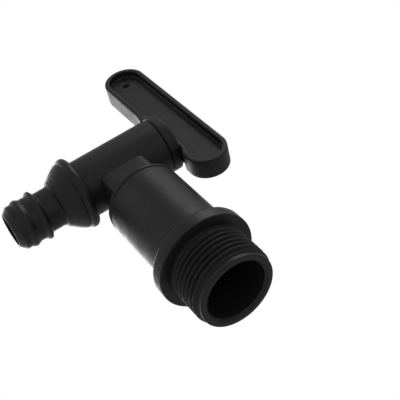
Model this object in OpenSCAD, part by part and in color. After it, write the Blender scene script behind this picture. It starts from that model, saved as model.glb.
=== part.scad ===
// IBC tank tap: a moulded plastic quarter-turn outlet tap with a 3/4 inch
// parallel inlet thread, a T-handle and a hose tail that points down.
// Millimetres. The origin is the centre of the flange's sealing face, on the
// thread axis. +Y runs out along the thread, +Z up the spindle to the handle.
// The handle is drawn in the open position, along the barrel.

/* [Inlet] */
// Radius over the crests of the inlet thread
thread_r = 13.22; // [13:0.01:13.5]
// Distance between neighbouring thread crests
thread_pitch = 1.814; // [1.7:0.002:1.9]
// Depth of the thread from crest to root
thread_depth = 1.16; // [0.8:0.02:1.2]
// Number of full thread ridges
thread_turns = 7; // [5:1:7]
// Length of the inlet from sealing face to mouth
inlet_len = 15.5; // [15:0.1:18]
// Radius of the plain nose in front of the thread
nose_r = 12.4; // [12.2:0.05:12.7]
// Radius of the bore in the inlet and barrel
inlet_bore_r = 9.9; // [9:0.05:10.2]

/* [Flange and barrel] */
// Radius of the flange
flange_r = 16.25; // [15:0.05:18]
// Thickness of the flange
flange_t = 5; // [4:0.1:6]
// Rounding on the back edge of the flange
flange_round = 1.2; // [0.5:0.1:1.5]
// Outer radius of the barrel
barrel_r = 13.05; // [12.6:0.05:13.05]
// Distance from the sealing face to the spindle axis
spindle_offset = 55.5; // [54:0.1:60]
// Distance from the spindle axis to the barrel's end
barrel_end = 18.9; // [18:0.1:20]
// Thickness of the wall that closes the barrel
end_wall = 3.2; // [2.5:0.1:4]
// Radius of the neck where it leaves the barrel
neck_r = 11.5; // [11.4:0.05:12]
// Radius of the neck where it meets the spindle tube
neck_waist_r = 9.4; // [9:0.05:9.6]

/* [Spindle tube] */
// Outer radius of the spindle tube
tube_r = 10; // [9.7:0.05:10.2]
// Height of the tube's top rim above the thread axis
tube_top = 17.1; // [16.5:0.1:19]
// Depth of the tube's lower end below the thread axis
tube_bottom = 16.8; // [16.5:0.1:17.5]
// Radius of the bore that the plug turns in
plug_bore_r = 7.7; // [7.5:0.05:7.8]
// Depth of the ledge that holds the plug's retaining ring
ledge_depth = 11.5; // [11.3:0.1:12]
// Radius of the wide lower end of the plug bore
lower_bore_r = 8.7; // [8.6:0.05:8.8]
// Radius of the water passage through neck and plug
port_r = 4.6; // [4:0.05:4.8]

/* [Handle] */
// Width of the lever across the barrel
lever_w = 7.6; // [7:0.1:9]
// Height of the lever's flat top above the thread axis
lever_top = 34.1; // [33:0.1:36]
// Radius of the lever's long end
long_end_r = 7.6; // [7.2:0.05:7.8]
// Distance from the spindle axis to the centre of the long end
long_reach = 37.1; // [34:0.1:42]
// Radius of the lever's short end
short_end_r = 7.4; // [7:0.05:7.6]
// Distance from the spindle axis to the centre of the short end
short_reach = 16.4; // [15.5:0.1:18]
// Width of the raised rim round both faces of the lever
lever_rim = 1.7; // [1.4:0.1:2]
// Depth of the recess in each face of the lever
recess_depth = 2.5; // [1.5:0.1:2.6]
// Radius of the hole in the long end
tie_hole_r = 1.2; // [0.8:0.05:1.6]
// Radius of the collar under the lever
collar_r = 10.3; // [10:0.05:10.6]
// Height of the collar above the rim of the tube
collar_h = 3.9; // [3.5:0.1:4.4]
// Width of the dark groove between tube rim and collar
collar_gap = 0.3; // [0.3:0.05:0.5]
// Angle that the handle turns from open to closed
turn_angle = 90; // [80:1:100]
// Width of the stop lug in degrees round the spindle
lug_angle = 36; // [30:1:40]
// Radius of the drilled middle of the plug
plug_hollow_r = 4.8; // [4.5:0.05:5]

/* [Hose tail] */
// Radius of the rounded ring round the top of the hose tail
bead_r = 12.7; // [12.2:0.05:13]
// Height of the rounded ring from its top edge to the shoulder's edge
bead_h = 3.9; // [3.6:0.1:4.2]
// Radius of the shoulder under the ring
shoulder_r = 11.8; // [11.6:0.05:12]
// Height of the curved shoulder between ring and waist
shoulder_h = 5.3; // [4.8:0.1:5.8]
// Radius of the waist between shoulder and ribs
waist_r = 7.1; // [6.8:0.05:7.3]
// Height of the straight part of the waist
waist_h = 5; // [4.4:0.1:6]
// Radius of the upper hose rib
rib_r = 8.7; // [8.3:0.05:9]
// Radius of the lower hose rib
lower_rib_r = 8.4; // [8.1:0.05:8.6]
// Distance between the two hose ribs
rib_pitch = 5.1; // [4.6:0.1:5.6]
// Radius of the hose tail between and below its ribs
tail_core_r = 7.7; // [7.5:0.05:7.8]
// Radius of the bore in the hose tail
spout_bore_r = 5.2; // [4.8:0.05:5.3]
// Depth of the hose tail's tip below the thread axis
spout_bottom = 40; // [39.6:0.1:46]

/* [Seals] */
// Radius of the round section of the two spindle rings
cord_r = 0.78; // [0.75:0.01:0.8]
// Thickness of the flat gasket under the tube
gasket_t = 1; // [0.8:0.1:1.2]
// Thickness of the retaining ring
clip_t = 1.1; // [0.9:0.1:1.2]

/* [Fits] */
// Running clearance of the plug in its bore, on the radius
plug_clearance = 0.05; // [0.02:0.01:0.08]
// Clearance of the tube in the hose tail's socket, on the radius
socket_clearance = 0.05; // [0.03:0.01:0.08]
// Clearance round the spindle rings, on the radius
ring_clearance = 0.02; // [0.01:0.01:0.03]

/* [Hidden] */
$fn = 72;
thread_root_r = thread_r - thread_depth;
shank_len = 0.5;
thread_start = 2.1;
plug_r = plug_bore_r - plug_clearance;
collar_base = tube_top + collar_gap;
collar_top = tube_top + collar_h;
long_z = lever_top - long_end_r;
short_z = lever_top - short_end_r;
web_t = lever_w - 2 * recess_depth;
low_z = long_z - long_end_r;
plug_bottom = -tube_bottom + 1.3;
groove_floor_r = plug_bore_r - 2 * cord_r - 2 * ring_clearance;
ring_centre_r = plug_bore_r - cord_r - ring_clearance;
groove_w = 2 * cord_r + 0.44;
upper_ring_z = 13;
lower_ring_z = -9;
clip_top = -ledge_depth - 0.1;
clip_bottom = clip_top - clip_t;
clip_inner_r = plug_r - 0.95;
clip_outer_r = lower_bore_r - 0.3;
hollow_top = 8;
pocket_floor = tube_top - 1.8;
pocket_r = plug_bore_r + 1.3;
lug_r = pocket_r - 0.3;
lug_play = 1;
lug_middle = 180;
seal_pocket_r = port_r + 1.95;
seal_outer_r = seal_pocket_r - 0.05;
seal_inner_r = port_r + 0.1;
seal_end = 10.7;
seal_face_r = plug_r + 0.08;
floor_z = -tube_bottom - gasket_t;
socket_r = tube_r + socket_clearance;
bead_top = -tube_bottom + 0.87 * bead_h;
shoulder_z = bead_top - bead_h;
waist_z = shoulder_z - shoulder_h;
rib_z = waist_z - waist_h - 2.2;
lower_rib_z = rib_z - rib_pitch;
shoulder_drop = shoulder_r - waist_r;

// Turns a profile of [radius, distance] points about the thread axis, with
// distances measured along +Y from the sealing face.
module turned_y(points) {
    rotate([-90, 0, 0])
        rotate_extrude()
            polygon(points);
}

// Turns a profile of [radius, height] points about the spindle axis.
module turned_z(points) {
    translate([0, -spindle_offset, 0])
        rotate_extrude()
            polygon(points);
}

// A round rod or hole along the thread axis, from one distance to another.
module rod_y(r, y0, y1) {
    translate([0, y0, 0])
        rotate([-90, 0, 0])
            cylinder(r = r, h = y1 - y0);
}

// A round rod or hole along the spindle axis, from one height to another.
module rod_z(r, z0, z1) {
    translate([0, -spindle_offset, z0])
        cylinder(r = r, h = z1 - z0);
}

// A sector of a ring round the spindle, centred on the angle given.
module ring_sector(r0, r1, z0, z1, middle, width) {
    translate([0, -spindle_offset, 0])
        rotate([0, 0, middle - width / 2])
            rotate_extrude(angle = width)
                polygon([[r0, z0], [r1, z0], [r1, z1], [r0, z1]]);
}

// One ridge of the inlet thread: sloping flanks and a narrow flat crest.
module thread_ridge(y) {
    turned_y([
        [inlet_bore_r + 1, y - 0.75],
        [thread_root_r, y - 0.75],
        [thread_r, y - 0.18],
        [thread_r, y + 0.18],
        [thread_root_r, y + 0.75],
        [inlet_bore_r + 1, y + 0.75]
    ]);
}

// Outside of flange, barrel and inlet nose as one turned shape.
module barrel_form() {
    back = -spindle_offset + barrel_end;
    turned_y([
        [0, back],
        [barrel_r - 0.5, back],
        [barrel_r, back + 0.5],
        [barrel_r, -flange_t],
        [flange_r - flange_round, -flange_t],
        [flange_r - 0.29 * flange_round, -flange_t + 0.29 * flange_round],
        [flange_r, -flange_t + flange_round],
        [flange_r, -0.3],
        [flange_r - 0.3, 0],
        [thread_r, 0],
        [thread_r, shank_len],
        [thread_root_r, shank_len + 0.5],
        [thread_root_r, inlet_len - 1.2],
        [nose_r, inlet_len - 0.9],
        [nose_r, inlet_len - 0.4],
        [nose_r - 0.4, inlet_len],
        [0, inlet_len]
    ]);
}

// Neck between barrel and tube: it narrows in a hollow curve.
module neck_form() {
    back = -spindle_offset + barrel_end;
    drop = neck_r - neck_waist_r;
    turned_y([
        [0, -spindle_offset],
        [neck_waist_r, -spindle_offset],
        [neck_waist_r, back - 8],
        [neck_waist_r + 0.08 * drop, back - 6.4],
        [neck_waist_r + 0.3 * drop, back - 4.2],
        [neck_waist_r + 0.62 * drop, back - 2],
        [neck_r, back + 0.2],
        [0, back + 0.2]
    ]);
}

// Body moulding: inlet, flange, barrel, neck and spindle tube with its bores.
module body() {
    color([0.14, 0.14, 0.145])
    difference() {
        union() {
            barrel_form();
            for (i = [0 : thread_turns - 1])
                thread_ridge(thread_start + i * thread_pitch);
            neck_form();
            turned_z([
                [0, -tube_bottom],
                [tube_r - 0.3, -tube_bottom],
                [tube_r, -tube_bottom + 0.3],
                [tube_r, tube_top - 0.4],
                [tube_r - 0.4, tube_top],
                [0, tube_top]
            ]);
        }
        rod_y(inlet_bore_r, -spindle_offset + barrel_end + end_wall, inlet_len + 1);
        turned_y([
            [0, inlet_len - 0.6],
            [inlet_bore_r, inlet_len - 0.6],
            [inlet_bore_r + 0.8, inlet_len + 0.2],
            [0, inlet_len + 0.2]
        ]);
        rod_y(port_r, -spindle_offset, 0);
        rod_y(seal_pocket_r, -spindle_offset, -spindle_offset + seal_end);
        rod_z(plug_bore_r, -tube_bottom - 1, tube_top + 1);
        rod_z(lower_bore_r, -tube_bottom - 1, -ledge_depth);
        ring_sector(plug_bore_r - 0.5, pocket_r, pocket_floor, tube_top + 1,
            lug_middle - turn_angle / 2, turn_angle + lug_angle + 2 * lug_play);
    }
}

// Side outline of the lever in [y, z], drawn smaller all round by the inset.
module lever_outline(inset) {
    base_z = low_z + inset;
    translate([-long_reach, long_z])
        circle(r = long_end_r - inset);
    translate([short_reach, short_z])
        circle(r = short_end_r - inset);
    polygon([
        [-long_reach, base_z],
        [-long_reach, lever_top - inset],
        [short_reach, lever_top - inset],
        [short_reach, short_z - short_end_r + inset],
        [short_reach - 2.5, short_z - short_end_r + inset],
        [9.5, collar_top - 0.6 + inset],
        [-9, collar_top - 0.6 + inset],
        [-12, base_z + 0.9],
        [-16.5, base_z]
    ]);
}

// Plate cut to the lever's outline, of any thickness, centred on the spindle.
module lever_plate(x0, x1, inset) {
    translate([x0, -spindle_offset, 0])
        rotate([90, 0, 90])
            linear_extrude(height = x1 - x0)
                lever_outline(inset);
}

// Handle moulding: recessed lever, collar, stop lug and hollow plug.
module handle() {
    color([0.15, 0.15, 0.155])
    difference() {
        union() {
            difference() {
                union() {
                    lever_plate(-lever_w / 2, lever_w / 2, 0);
                    translate([-lever_w / 2, -spindle_offset, 0])
                        rotate([90, 0, 90])
                            linear_extrude(height = lever_w)
                                polygon([
                                    [-18, low_z + 0.3],
                                    [-17, low_z],
                                    [-14.6, low_z - 0.25],
                                    [-12.8, low_z - 0.6],
                                    [-11.4, low_z - 1.1],
                                    [-10.6, collar_base + 0.1],
                                    [-6, collar_base + 0.1],
                                    [-6, collar_top + 1],
                                    [-18, collar_top + 1]
                                ]);
                }
                lever_plate(web_t / 2, lever_w, lever_rim);
                lever_plate(-lever_w, -web_t / 2, lever_rim);
                translate([-lever_w, -spindle_offset - long_reach, long_z])
                    rotate([0, 90, 0])
                        cylinder(r = tie_hole_r, h = 2 * lever_w);
            }
            turned_z([
                [0, plug_bottom],
                [plug_r - 0.5, plug_bottom],
                [plug_r, plug_bottom + 0.5],
                [plug_r, tube_top],
                [tube_r - 0.6, tube_top],
                [tube_r - 0.6, collar_base],
                [collar_r - 0.3, collar_base],
                [collar_r, collar_base + 0.3],
                [collar_r, collar_top - 0.5],
                [collar_r - 0.5, collar_top],
                [0, collar_top]
            ]);
            ring_sector(plug_r - 0.5, lug_r, pocket_floor + 0.2, tube_top,
                lug_middle, lug_angle);
        }
        rod_z(plug_hollow_r, plug_bottom - 1, hollow_top);
        rod_y(port_r, -spindle_offset, -spindle_offset + plug_r + 1);
        plug_groove(upper_ring_z, groove_w, groove_floor_r);
        plug_groove(lower_ring_z, groove_w, groove_floor_r);
        plug_groove((clip_top + clip_bottom) / 2, clip_t, clip_inner_r - 0.1);
    }
}

// Square groove turned into the plug at the height given.
module plug_groove(z, width, floor_r) {
    turned_z([
        [floor_r, z - width / 2],
        [plug_r + 0.04, z - width / 2],
        [plug_r + 0.04, z + width / 2],
        [floor_r, z + width / 2]
    ]);
}

// Hose tail moulding: socket, rounded ring, shoulder, waist, ribs and bore.
module spout() {
    color([0.14, 0.14, 0.145])
    turned_z([
        [socket_r, floor_z],
        [socket_r, bead_top],
        [bead_r - 1.6, bead_top],
        [bead_r - 0.7, bead_top - 0.08 * bead_h],
        [bead_r - 0.15, bead_top - 0.26 * bead_h],
        [bead_r, bead_top - 0.44 * bead_h],
        [bead_r - 0.15, bead_top - 0.62 * bead_h],
        [bead_r - 0.6, bead_top - 0.77 * bead_h],
        [shoulder_r - 0.1, bead_top - 0.87 * bead_h],
        [shoulder_r, shoulder_z],
        [shoulder_r - 0.1 * shoulder_drop, shoulder_z - 0.2 * shoulder_h],
        [shoulder_r - 0.22 * shoulder_drop, shoulder_z - 0.38 * shoulder_h],
        [shoulder_r - 0.45 * shoulder_drop, shoulder_z - 0.66 * shoulder_h],
        [shoulder_r - 0.68 * shoulder_drop, shoulder_z - 0.9 * shoulder_h],
        [shoulder_r - 0.76 * shoulder_drop, waist_z],
        [waist_r + 0.25, waist_z - 0.7],
        [waist_r, waist_z - 1.2],
        [waist_r, rib_z + 1.6],
        [rib_r - 0.3, rib_z + 0.6],
        [rib_r, rib_z + 0.2],
        [rib_r, rib_z - 0.2],
        [tail_core_r, rib_z - 1.5],
        [tail_core_r, lower_rib_z + 1.7],
        [lower_rib_r, lower_rib_z + 0.35],
        [lower_rib_r, lower_rib_z - 0.35],
        [tail_core_r, lower_rib_z - 1.6],
        [tail_core_r, -spout_bottom + 2],
        [spout_bore_r + 0.55, -spout_bottom],
        [spout_bore_r, -spout_bottom],
        [spout_bore_r, floor_z - 3.7],
        [lower_bore_r - 0.4, floor_z]
    ]);
}

// Rubber ring of round section in a groove of the plug.
module spindle_ring(z) {
    translate([0, -spindle_offset, z])
        rotate_extrude()
            translate([ring_centre_r, 0])
                circle(r = cord_r, $fn = 24);
}

// Ring that seals the plug above the water passage.
module upper_seal() {
    color([0.08, 0.08, 0.08])
    spindle_ring(upper_ring_z);
}

// Ring that seals the plug below the water passage.
module lower_seal() {
    color([0.08, 0.08, 0.08])
    spindle_ring(lower_ring_z);
}

// Seat ring in the neck: its inner end is hollowed to lie on the plug.
module port_seal() {
    color([0.09, 0.09, 0.09])
    difference() {
        rod_y(seal_outer_r, -spindle_offset + 3, -spindle_offset + seal_end);
        rod_y(seal_inner_r, -spindle_offset, 0);
        rod_z(seal_face_r, -tube_bottom, tube_top);
    }
}

// Flat ring in the plug's lowest groove: it bears under the tube's ledge.
module retaining_clip() {
    color([0.5, 0.5, 0.52])
    difference() {
        rod_z(clip_outer_r, clip_bottom, clip_top);
        rod_z(clip_inner_r, clip_bottom - 1, clip_top + 1);
    }
}

// Flat gasket between the tube's lower end and the floor of the socket.
module spout_gasket() {
    color([0.09, 0.09, 0.09])
    difference() {
        rod_z(tube_r - 0.1, floor_z, -tube_bottom);
        rod_z(lower_bore_r, floor_z - 1, -tube_bottom + 1);
    }
}

body();
handle();
spout();
upper_seal();
lower_seal();
port_seal();
retaining_clip();
spout_gasket();
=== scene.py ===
import bmesh
import bpy
import numpy as np
from mathutils import Matrix


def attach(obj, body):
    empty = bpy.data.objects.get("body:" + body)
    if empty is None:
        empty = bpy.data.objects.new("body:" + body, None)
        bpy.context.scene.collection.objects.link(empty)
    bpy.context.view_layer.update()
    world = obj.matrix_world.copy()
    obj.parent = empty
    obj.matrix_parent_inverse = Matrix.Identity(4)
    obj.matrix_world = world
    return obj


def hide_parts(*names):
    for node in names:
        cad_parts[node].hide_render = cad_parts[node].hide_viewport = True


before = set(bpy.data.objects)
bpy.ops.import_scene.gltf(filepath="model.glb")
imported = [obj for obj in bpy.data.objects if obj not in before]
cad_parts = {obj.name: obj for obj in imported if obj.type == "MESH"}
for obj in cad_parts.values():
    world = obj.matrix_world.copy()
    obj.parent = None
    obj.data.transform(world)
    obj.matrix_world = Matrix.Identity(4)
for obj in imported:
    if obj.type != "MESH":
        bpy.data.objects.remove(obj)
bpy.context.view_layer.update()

# Millimetres from the spindle axis to the sealing face, where the frame starts.
SPINDLE = 55.5
# Columns round the thread axis, shared by barrel, neck and both port edges.
ROUND = 288
TURN = np.linspace(0, 2 * np.pi, ROUND, endpoint=False)


# Surfaces.

def sheet_faces(rows, columns, closed):
    """Quads between neighbouring rows and columns of a grid; the last column joins the first if closed."""
    i = np.arange(rows - 1)[:, None]
    j = np.arange(columns if closed else columns - 1)[None, :]
    k = (j + 1) % columns
    a, b = i * columns + j, i * columns + k
    return np.stack([a, b, b + columns, a + columns], -1).reshape(-1, 4)


def sheet(points, closed=True):
    """A grid of points as (points, faces)."""
    p = np.asarray(points, float)
    return p.reshape(-1, 3), sheet_faces(p.shape[0], p.shape[1], closed)


def turned_about_thread(r, y):
    """Radius and distance from the spindle, as rows by ROUND columns, to points round the thread axis."""
    return np.stack([r * np.sin(TURN), y - SPINDLE + 0 * r, r * np.cos(TURN)], -1)


def turned_about_spindle(profile, angles):
    """Profile of (radius, height) carried round the spindle axis through the angles, counted from +Y to +X."""
    r, z = np.asarray(profile, float).T[:, :, None]
    a = np.asarray(angles)[None, :]
    return np.stack([r * np.sin(a), r * np.cos(a) - SPINDLE, z + 0 * a], -1)


def rounded(corners, steps=7):
    """Corner list of (across, along, radius) as a path whose corners are arcs of those radii."""
    c = np.array([p[:2] for p in corners], float)
    out = []
    for n, p in enumerate(c):
        radius = corners[n][2] if len(corners[n]) > 2 else 0
        if radius == 0 or n in (0, len(c) - 1):
            out.append(p[None])
            continue
        u, v = c[n - 1] - p, c[n + 1] - p
        lu, lv = np.hypot(*u), np.hypot(*v)
        u, v = u / lu, v / lv
        half = np.arccos(np.clip(u @ v, -1, 1)) / 2
        cut = min(radius / np.tan(half), 0.49 * lu, 0.49 * lv)
        middle = p + (u + v) / np.hypot(*(u + v)) * cut / np.cos(half)
        a, b = p + u * cut - middle, p + v * cut - middle
        t = np.linspace(0, 1, steps)[:, None]
        arc = a * (1 - t) + b * t
        arc *= np.hypot(*a) / np.hypot(arc[:, 0], arc[:, 1])[:, None]
        out.append(middle + arc)
    return np.concatenate(out)


def piece(name, parts, body, nodes, finish, crease=32):
    """Joins grids at their shared edges into one mesh, faces outwards, smooth except at real corners."""
    points = np.concatenate([p for p, _ in parts])
    start = np.cumsum([0] + [len(p) for p, _ in parts])
    faces = np.concatenate([f + s for (_, f), s in zip(parts, start)])
    _, first, same = np.unique(np.round(points, 5), axis=0, return_index=True, return_inverse=True)
    faces = same.reshape(-1)[faces]
    points = points[first] * 0.001
    flat = faces == np.roll(faces, -1, 1)
    quads = faces[flat.sum(1) == 0]
    narrow = flat.sum(1) == 1
    drop = np.argmax(flat[narrow], 1)
    keep = (drop[:, None] + np.arange(1, 4)) % 4
    tris = np.take_along_axis(faces[narrow], keep, 1)
    mesh = bpy.data.meshes.new(name)
    mesh.from_pydata(points.tolist(), [], quads.tolist() + tris.tolist())
    work = bmesh.new()
    work.from_mesh(mesh)
    bmesh.ops.recalc_face_normals(work, faces=work.faces[:])
    loose = sum(1 for e in work.edges if len(e.link_faces) != 2)
    work.to_mesh(mesh)
    work.free()
    mesh.shade_smooth()
    mesh.set_sharp_from_angle(angle=np.radians(crease))
    thing = bpy.data.objects.new(name, mesh)
    bpy.context.collection.objects.link(thing)
    thing.data.materials.append(finish)
    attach(thing, body)
    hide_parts(*nodes)
    print(name, len(mesh.polygons), "faces,", loose, "open or shared edges")
    return thing


# A tube with a round way in its side.

SIDE = np.radians(108)
eighth = ROUND // 8
k = np.arange(ROUND)
ACROSS = np.interp(k, [0, eighth, 3 * eighth, 5 * eighth, 7 * eighth, 8 * eighth], [0, 1, 1, -1, -1, 0])
UPRIGHT = np.interp(k, [0, eighth, 3 * eighth, 5 * eighth, 7 * eighth, 8 * eighth], [1, 1, 0, 0, 1, 1])
BEHIND = np.linspace(SIDE, 2 * np.pi - SIDE, 73)
FRONT = SIDE * ACROSS[np.r_[7 * eighth:ROUND, 0:eighth + 1]]
ALL_ROUND = np.concatenate([FRONT, BEHIND[1:-1]])


def on_tube(r, angle, z):
    """Angle round the spindle and height, on a cylinder of radius r, as points."""
    return np.stack([r * np.sin(angle), r * np.cos(angle) - SPINDLE, z + 0 * angle], -1)


def holed_tube(r, hole_angle, hole_z, low, high, rows=14):
    """Cylinder wall with a hole in front: straight lines on the unrolled wall run from the hole's edge
    to a rectangle round it, and a plain grid closes the back."""
    t = np.linspace(0, 1, rows)[:, None] ** 1.3
    edge_z = low + (high - low) * UPRIGHT
    front = on_tube(r, hole_angle * (1 - t) + SIDE * ACROSS * t, hole_z * (1 - t) + edge_z * t)
    z = edge_z[eighth:3 * eighth + 1]
    back = on_tube(r, BEHIND[None, :] + 0 * z[:, None], z[:, None] + 0 * BEHIND[None, :])
    return [sheet(front), sheet(back, closed=False)]


def hole_edge(r, port):
    """Where a round way of radius port along the thread axis meets a cylinder r about the spindle."""
    return np.arcsin(port * np.sin(TURN) / r), port * np.cos(TURN)


def bands(profile):
    """Rings round the spindle that follow the same columns as the holed tubes."""
    return sheet(turned_about_spindle(profile, ALL_ROUND))


# Finishes.

def moulded_plastic(name, shade, rough, grain, specular=0.3):
    """Black satin plastic: fine spark-eroded grain, faint flow marks and slightly uneven gloss."""
    m = bpy.data.materials.new(name)
    m.use_nodes = True
    n, links = m.node_tree.nodes, m.node_tree.links
    skin = n["Principled BSDF"]
    skin.inputs["Specular IOR Level"].default_value = specular
    place = n.new("ShaderNodeTexCoord")

    def noise(scale, detail, roughness=0.55):
        x = n.new("ShaderNodeTexNoise")
        x.inputs["Scale"].default_value = scale
        x.inputs["Detail"].default_value = detail
        x.inputs["Roughness"].default_value = roughness
        links.new(place.outputs["Object"], x.inputs["Vector"])
        return x.outputs["Fac"]

    def spread(value, low, high):
        x = n.new("ShaderNodeMapRange")
        x.inputs["From Min"].default_value = 0.3
        x.inputs["From Max"].default_value = 0.7
        x.inputs["To Min"].default_value = low
        x.inputs["To Max"].default_value = high
        links.new(value, x.inputs["Value"])
        return x.outputs["Result"]

    cloud = noise(90, 4)
    tone = n.new("ShaderNodeMix")
    tone.data_type = "RGBA"
    tone.inputs["A"].default_value = (shade * 0.86, shade * 0.86, shade * 0.86, 1)
    tone.inputs["B"].default_value = (shade * 1.14, shade * 1.14, shade * 1.14, 1)
    links.new(spread(cloud, 0, 1), tone.inputs["Factor"])
    links.new(tone.outputs["Result"], skin.inputs["Base Color"])
    links.new(spread(noise(260, 5), rough - 0.05, rough + 0.05), skin.inputs["Roughness"])
    fine = n.new("ShaderNodeBump")
    fine.inputs["Strength"].default_value = grain
    fine.inputs["Distance"].default_value = 0.00004
    links.new(noise(5200, 2, 0.6), fine.inputs["Height"])
    broad = n.new("ShaderNodeBump")
    broad.inputs["Strength"].default_value = 0.35
    broad.inputs["Distance"].default_value = 0.00012
    links.new(noise(240, 2), broad.inputs["Height"])
    links.new(broad.outputs["Normal"], fine.inputs["Normal"])
    links.new(fine.outputs["Normal"], skin.inputs["Normal"])
    return m


def plain(name, colour, rough, specular=0.4):
    """Rubber or clear moulded ring: one colour with a fine uneven surface."""
    m = moulded_plastic(name, colour[0], rough, 0.3, specular)
    mix = next(x for x in m.node_tree.nodes if x.type == "MIX")
    mix.inputs["A"].default_value = (*[c * 0.9 for c in colour], 1)
    mix.inputs["B"].default_value = (*[c * 1.1 for c in colour], 1)
    return m


body_black = moulded_plastic("tap body black", 0.008, 0.42, 0.5, 0.18)
lever_black = moulded_plastic("lever black", 0.008, 0.45, 0.5, 0.18)
tail_black = moulded_plastic("hose tail black", 0.008, 0.40, 0.5, 0.18)
seal_rubber = plain("seal rubber", (0.012, 0.012, 0.012), 0.6)
ring_white = plain("natural acetal", (0.62, 0.61, 0.57), 0.4)


# Tap body.

BORE, PORT, TUBE, PLUG_BORE = 9.9, 4.6, 10.0, 7.7
END_FACE = 18.9
# Neck section in polar form: a box 14.7 by 17.6 mm with well rounded corners.
NECK = (np.abs(np.sin(TURN) / 7.35) ** 7 + np.abs(np.cos(TURN) / 8.8) ** 7) ** (-1 / 7)

# Outside of barrel, flange and thread: radius against distance from the spindle.
to_thread = rounded([
    (12.3, END_FACE), (13.05, END_FACE, 0.4), (13.05, 19.9, 0.25), (12.6, 20.15, 0.3), (12.6, 20.7, 0.3),
    (13.05, 20.95, 0.3), (13.05, 50.5, 0.9), (16.25, 50.5, 1.35), (16.25, 55.5, 0.4), (13.4, 55.5)])
from_thread = rounded([
    (12.1, 69.35), (12.1, 70.0, 0.12), (12.42, 70.1, 0.12), (12.42, 71.0, 0.5), (10.75, 71.0, 0.25),
    (BORE, 70.1, 0.3), (BORE, END_FACE + 3.2, 0.6), (PORT + 0.4, END_FACE + 3.2, 0.3), (PORT, END_FACE + 2.8), (PORT, 9.5)])

# Inlet thread: a rounded vee that climbs one pitch a turn, fading in at the flange and out before the nose.
PITCH, ROOT, DEPTH = 1.814, 12.06, 1.16
along = np.linspace(55.5, 69.3, 150)[:, None]
wave = np.abs(((along - 59.4) / PITCH - TURN[None, :] / (2 * np.pi)) % 1 * 2 - 1)
wave = np.clip((wave - 0.1) / 0.8, 0, 1)
vee = 0.65 * wave + 0.35 * (0.5 - 0.5 * np.cos(np.pi * wave))
lead_in = np.clip((along - 55.9) / 1.2, 0, 1)
run_out = np.clip((69.1 - along) / 0.7, 0, 1)
crest = ROOT + DEPTH * vee * lead_in * run_out
foot = 0.5 * np.clip((56.0 - along) / 0.5, 0, 1) ** 2
barrel_r = np.concatenate([
    NECK[None] + 0.8, np.repeat(to_thread[:, :1], ROUND, 1), crest + foot, np.repeat(from_thread[:, :1], ROUND, 1)])
barrel_y = np.concatenate([
    np.full((1, ROUND), END_FACE), np.repeat(to_thread[:, 1:], ROUND, 1), np.repeat(along, ROUND, 1), np.repeat(from_thread[:, 1:], ROUND, 1)])
inner_angle, inner_z = hole_edge(PLUG_BORE, PORT)
barrel_r = np.vstack([barrel_r, np.full((1, ROUND), PORT)])
barrel_y = np.vstack([barrel_y, PLUG_BORE * np.cos(inner_angle)[None, :]])
barrel = sheet(turned_about_thread(barrel_r, barrel_y))

# Neck: straight lines along the box section, with a hollow fillet of 0.8 mm on the barrel's end
# and one on the tube, where its corner curve is moved 0.7 mm outwards on the unrolled wall.
section = NECK[:, None] * np.stack([np.sin(TURN), np.cos(TURN)], -1)
unrolled = np.stack([TUBE * np.arcsin(section[:, 0] / TUBE), section[:, 1]], -1)
run = np.roll(unrolled, -1, 0) - np.roll(unrolled, 1, 0)
run /= np.hypot(*run.T)[:, None]
landed = unrolled + 0.7 * np.stack([-run[:, 1], run[:, 0]], -1) * np.array([-1, -1])
edge_angle, edge_z = landed[:, 0] / TUBE, landed[:, 1]
corner = on_tube(TUBE, unrolled[:, 0] / TUBE, unrolled[:, 1])
t = np.linspace(0, 1, 9)[:, None, None]
ahead = np.array([0, 0.7, 0])
at_tube = (1 - t) ** 2 * (corner + ahead) + 2 * t * (1 - t) * corner + t ** 2 * on_tube(TUBE, edge_angle, edge_z)
s0 = turned_about_thread((NECK + 0.8)[None], np.full((1, ROUND), END_FACE))[0]
s1 = turned_about_thread(NECK[None], np.full((1, ROUND), END_FACE))[0]
s2 = turned_about_thread(NECK[None], np.full((1, ROUND), END_FACE - 0.8))[0]
at_barrel = (1 - t) ** 2 * s0 + 2 * t * (1 - t) * s1 + t ** 2 * s2
neck = sheet(np.concatenate([at_barrel, at_tube]))

TOP, FOOT, LEDGE = 17.1, -16.8, -11.5
tube_parts = holed_tube(TUBE, edge_angle, edge_z, FOOT + 0.3, TOP - 0.45, rows=12)
bore_parts = holed_tube(PLUG_BORE, inner_angle, inner_z, LEDGE, TOP - 0.4)
rim = bands(np.vstack([
    [(TUBE, TOP - 0.45)], rounded([(TUBE, TOP - 0.45), (TUBE, TOP, 0.42), (PLUG_BORE + 0.4, TOP, 0.1), (PLUG_BORE, TOP - 0.4)])]))
foot_rim = bands([(PLUG_BORE, LEDGE), (8.7, LEDGE), (8.7, FOOT), (TUBE - 0.3, FOOT), (TUBE, FOOT + 0.3)])
tap_body = piece("tap_body", [barrel, neck, *tube_parts, *bore_parts, rim, foot_rim], "body", ["body"], body_black)


# Hose tail.

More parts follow.
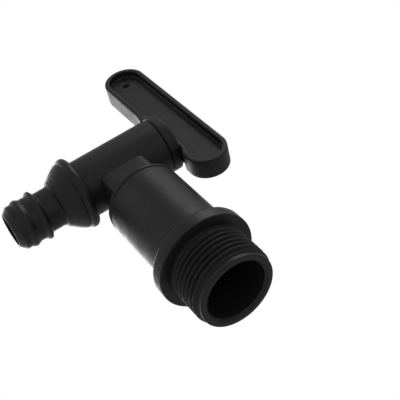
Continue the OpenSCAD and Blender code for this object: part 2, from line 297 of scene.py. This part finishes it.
bead_turn = np.radians(np.linspace(90, -62, 26))
bead = np.stack([11.0 + 1.7 * np.cos(bead_turn), -15.1 + 1.7 * np.sin(bead_turn)], -1)
below_bead = rounded([
    (11.798, -16.601), (11.62, -16.85, 0.2), (11.8, -17.15, 0.25), (11.66, -17.75, 1.5), (10.8, -19.3, 4), (9.7, -20.8, 5),
    (8.55, -22.15, 1.2), (8.2, -22.75, 0.4), (7.3, -23.35, 0.35), (7.1, -23.95, 0.4), (7.1, -28.25, 0.4),
    (8.7, -29.25, 0.35), (8.7, -30.15, 0.4), (7.7, -31.25, 0.6), (7.7, -33.2, 0.6), (8.4, -34.5, 0.4),
    (8.4, -35.3, 0.4), (7.7, -36.5, 0.6), (7.7, -38.05, 0.45), (5.85, -39.95, 0.15), (5.2, -40.0, 0.2),
    (5.2, -21.5, 3), (8.3, -17.8, 0.2), (10.05, -17.8), (10.05, -13.7, 0.1), (10.3, -13.4)])
tail_profile = np.vstack([[(10.3, -13.4)], bead, below_bead[1:]])
spin = np.linspace(0, 2 * np.pi, 192, endpoint=False)
hose_tail = piece("hose_tail", [sheet(turned_about_spindle(tail_profile, spin))], "body", ["spout"], tail_black)


# Handle.

PLUG, HOLLOW = 7.65, 4.8
COLLAR, COLLAR_TOP = 10.3, 21.0
outer_angle, outer_z = hole_edge(PLUG, PORT)
core_angle, core_z = hole_edge(HOLLOW, PORT)
plug_wall = holed_tube(PLUG, outer_angle, outer_z, -7.5, 11.5)
core_wall = holed_tube(HOLLOW, core_angle, core_z, -7.5, 7.0)
way_in = sheet(np.stack([on_tube(PLUG, outer_angle, outer_z), on_tube(HOLLOW, core_angle, core_z)]))
collar = bands(np.vstack([
    [(PLUG, 11.5), (PLUG, 12), (6.1, 12), (6.1, 14), (PLUG, 14), (PLUG, TOP)],
    rounded([(PLUG, TOP), (9.4, TOP), (9.4, TOP + 0.3, 0.1), (COLLAR, TOP + 0.3, 0.35), (COLLAR, COLLAR_TOP, 0.6), (0, COLLAR_TOP)])]))
plug_foot = bands([
    (PLUG, -7.5), (PLUG, -8), (6.1, -8), (6.1, -10), (PLUG, -10), (PLUG, -11.6), (6.6, -11.6), (6.6, -12.7),
    (PLUG, -12.7), (PLUG, -15.0), (PLUG - 0.5, -15.5), (HOLLOW, -15.5), (HOLLOW, -7.5)])
core_end = bands([(HOLLOW, 7.0), (HOLLOW, 7.6), (4.4, 8.0), (0, 8.0)])

# Lever: the outline is cut in two at CUT. Upper and lower edges are heights over the same distances
# to the right of it, and an arc of the long end closes it on the left.
CUT = -28.0
LONG_Y, LONG_Z, SHORT_Y, SHORT_Z = -37.08, 26.5, 16.4, 26.7


def lever_edge(long_r, short_r, low_y, low_z, count=230, arc=110):
    """Closed outline as (distance, height): a semicircle of long_r, straight top, semicircle of short_r, and a
    lower edge through the points given, softened by a short running mean."""
    swing = np.linspace(np.pi / 2, 0, 46)
    end_y = SHORT_Y + short_r * np.cos(swing)
    end_up, end_down = SHORT_Z + short_r * np.sin(swing), SHORT_Z - short_r * np.sin(swing)
    y = np.linspace(CUT, SHORT_Y, count)
    top = LONG_Z + long_r + (SHORT_Z + short_r - LONG_Z - long_r) * (y - CUT) / (SHORT_Y - CUT)
    fine = np.linspace(CUT - 4, SHORT_Y + 4, 4001)
    step = np.interp(fine, [CUT - 5] + list(low_y) + [SHORT_Y + 5], [LONG_Z - long_r] + list(low_z) + [SHORT_Z - short_r])
    width = 121
    soft = np.convolve(np.pad(step, width // 2, mode="edge"), np.hanning(width) / np.hanning(width).sum(), "valid")
    under = np.interp(y, fine, soft)
    swing = np.linspace(-np.pi / 2, -3 * np.pi / 2, arc)
    left = np.stack([LONG_Y + long_r * np.cos(swing), LONG_Z + long_r * np.sin(swing)], -1)
    fill = np.linspace(CUT, LONG_Y, 14)[1:-1]
    return np.concatenate([
        np.stack([y, top], -1), np.stack([end_y, end_up], -1)[1:],
        np.stack([end_y, end_down], -1)[::-1][1:], np.stack([y, under], -1)[::-1][1:],
        np.stack([fill, 0 * fill + LONG_Z - long_r], -1), left,
        np.stack([fill[::-1], 0 * fill + LONG_Z + long_r], -1)]), count, 46


def inward(path):
    """Unit normals of a closed clockwise path, pointing into it."""
    run = np.roll(path, -1, 0) - np.roll(path, 1, 0)
    run /= np.maximum(np.hypot(*run.T), 1e-9)[:, None]
    return np.stack([run[:, 1], -run[:, 0]], -1)


outline, count, swing_count = lever_edge(
    7.6, 7.4, [-18.5, -16.5, -14.4, -12.6, -11.3, -10.5, -9.2, -8.6, 9.6, 11.0, 13.6],
    [18.9, 18.85, 18.6, 18.25, 17.85, 17.5, 17.5, 20.4, 20.75, 20.6, 19.35])
recess, _, _ = lever_edge(5.45, 5.25, [-16, -11, 10.5, 14], [21.05, 22.5, 22.5, 21.45])
into, into_recess = inward(outline), inward(recess)
HALF, WEB = 3.8, 1.3
edge_turn = np.radians(np.linspace(0, 90, 7))
rings = []
for s in edge_turn:
    rings.append((outline + into * 0.5 * (1 - np.cos(s)), HALF - 0.5 + 0.5 * np.sin(s)))
for s in np.radians(np.linspace(0, 90, 5)):
    rings.append((recess - into_recess * (0.42 + 0.25 * (1 - np.sin(s))), HALF - 0.25 * (1 - np.cos(s))))
for s in np.radians(np.linspace(0, 90, 6)):
    rings.append((recess - into_recess * 0.4 * (1 - np.sin(s)), WEB + 0.4 * (1 - np.sin(s))))


def lever_side(way):
    """One face of the lever: its rounded rim, the recess wall and the web with the tie hole."""
    stack = np.stack([np.column_stack([np.full(len(p), way * x), p[:, 0] - SPINDLE, p[:, 1]]) for p, x in rings])
    n = len(recess)
    right = count + swing_count - 1
    up, down = recess[:right], recess[right - 1:2 * right - 1][::-1]
    t = np.linspace(0, 1, 9)[:, None, None]
    web_right = up * (1 - t) + down * t
    web_right = np.concatenate([np.full(web_right.shape[:2] + (1,), way * WEB), web_right], -1)
    left = np.concatenate([recess[2 * right - 2:], recess[:1], web_right[:, 0, 1:][1:-1]])
    hole_turn = np.arctan2(left[:, 1] - LONG_Z, left[:, 0] - LONG_Y)
    hole = np.stack([LONG_Y + 1.25 * np.cos(hole_turn), LONG_Z + 1.25 * np.sin(hole_turn)], -1)
    lip = np.stack([LONG_Y + 1.4 * np.cos(hole_turn), LONG_Z + 1.4 * np.sin(hole_turn)], -1)
    s = np.linspace(0, 1, 8)[:, None, None]
    web_left = lip * (1 - s) + left * s
    web_left = np.concatenate([np.full(web_left.shape[:2] + (1,), way * WEB), web_left], -1)
    wall = np.stack([np.column_stack([np.full(len(h), way * x), h]) for h, x in ((lip, WEB), (hole, WEB - 0.15), (hole, 0))])
    for g in (web_right, web_left, wall):
        g[..., 1] -= SPINDLE
    return [sheet(stack), sheet(web_right, closed=False), sheet(web_left), sheet(wall)]


def hub_fillet(way):
    """Hollow strip between the collar's top and the lever's face; its radius fades to nothing at both ends."""
    y = np.linspace(-9.2, 9.2, 60)[:, None]
    size = 0.9 * np.sqrt(np.clip(1 - (y / 9.2) ** 2, 0, 1)) ** 0.6
    turn = np.radians(np.linspace(180, 270, 9))[None, :]
    x = HALF - 0.02 + size * (1 + np.cos(turn))
    z = COLLAR_TOP - 0.02 + size * (1 + np.sin(turn))
    x = np.concatenate([x, np.full_like(y, HALF - 0.02) + 0 * y], 1)
    z = np.concatenate([z, np.full_like(y, COLLAR_TOP - 0.02)], 1)
    return sheet(np.stack([way * x, y - SPINDLE + 0 * x, z], -1))


side_wall = np.stack([
    np.column_stack([np.full(len(outline), x), outline[:, 0] - SPINDLE, outline[:, 1]])
    for x in np.linspace(HALF - 0.5, 0.5 - HALF, 5)])
t_handle = piece(
    "t_handle",
    [*plug_wall, *core_wall, way_in, collar, plug_foot, core_end, sheet(side_wall), *lever_side(1), *lever_side(-1),
     hub_fillet(1), hub_fillet(-1)],
    "handle", ["handle"], lever_black)


# Seals and ring, kept from the CAD part.

for name in ("upper_seal", "lower_seal", "port_seal", "spout_gasket"):
    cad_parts[name].data.materials.clear()
    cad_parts[name].data.materials.append(seal_rubber)
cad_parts["retaining_clip"].data.materials.clear()
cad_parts["retaining_clip"].data.materials.append(ring_white)


# Floor, light and camera.

floor_mesh = bpy.data.meshes.new("floor")
floor_mesh.from_pydata([(-3, -3, -0.11), (3, -3, -0.11), (3, 3, -0.11), (-3, 3, -0.11)], [], [(0, 1, 2, 3)])
floor = bpy.data.objects.new("floor", floor_mesh)
bpy.context.collection.objects.link(floor)
pale = bpy.data.materials.new("pale floor")
pale.use_nodes = True
pale.node_tree.nodes["Principled BSDF"].inputs["Base Color"].default_value = (0.9, 0.9, 0.9, 1)
pale.node_tree.nodes["Principled BSDF"].inputs["Roughness"].default_value = 0.9
floor.data.materials.append(pale)

world = bpy.data.worlds.new("studio")
bpy.context.scene.world = world
world.use_nodes = True
wn, wl = world.node_tree.nodes, world.node_tree.links
soft = wn["Background"]
soft.inputs["Color"].default_value = (1, 1, 1, 1)
soft.inputs["Strength"].default_value = 0.55
white = wn.new("ShaderNodeBackground")
white.inputs["Color"].default_value = (1, 1, 1, 1)
white.inputs["Strength"].default_value = 1.0
ray = wn.new("ShaderNodeLightPath")
seen = wn.new("ShaderNodeMath")
seen.operation = "MAXIMUM"
wl.new(ray.outputs["Is Camera Ray"], seen.inputs[0])
wl.new(ray.outputs["Is Transmission Ray"], seen.inputs[1])
both = wn.new("ShaderNodeMixShader")
wl.new(seen.outputs[0], both.inputs["Fac"])
wl.new(soft.outputs[0], both.inputs[1])
wl.new(white.outputs[0], both.inputs[2])
wl.new(both.outputs[0], wn["World Output"].inputs["Surface"])


def softbox(name, place, aim, size, watts):
    """Square area lamp at a place, in metres, turned towards its aim."""
    lamp = bpy.data.lights.new(name, "AREA")
    lamp.shape = "SQUARE"
    lamp.size = size
    lamp.energy = watts
    thing = bpy.data.objects.new(name, lamp)
    bpy.context.collection.objects.link(thing)
    back = np.array(place) - np.array(aim)
    back = back / np.linalg.norm(back)
    right = np.cross([0, 0, 1.0], back)
    right /= np.linalg.norm(right)
    up = np.cross(back, right)
    m = np.eye(4)
    m[:3, 0], m[:3, 1], m[:3, 2], m[:3, 3] = right, up, back, place
    thing.matrix_world = Matrix(m.tolist())
    return thing


middle_of_tap = (0, -0.045, 0)
softbox("key", (0.5, -0.45, 0.55), middle_of_tap, 0.5, 3)
softbox("fill", (0.7, 0.5, 0.2), middle_of_tap, 0.8, 1)
softbox("back", (-0.2, -0.3, -0.09), middle_of_tap, 0.3, 1)

camera = bpy.data.cameras.new("photo camera")
camera.sensor_width = 36
camera.lens = 77.10
camera.clip_start = 0.01
camera_thing = bpy.data.objects.new("photo camera", camera)
bpy.context.collection.objects.link(camera_thing)
m = np.eye(4)
m[:3, 0] = (-0.18148, 0.55215, 0.81375)
m[:3, 1] = (0.70736, -0.50157, 0.49807)
m[:3, 2] = (0.68316, 0.66600, -0.29954)
m[:3, 3] = (0.184817, 0.157051, -0.068069)
camera_thing.matrix_world = Matrix(m.tolist())
bpy.context.scene.camera = camera_thing
bpy.context.scene.view_settings.view_transform = "Standard"
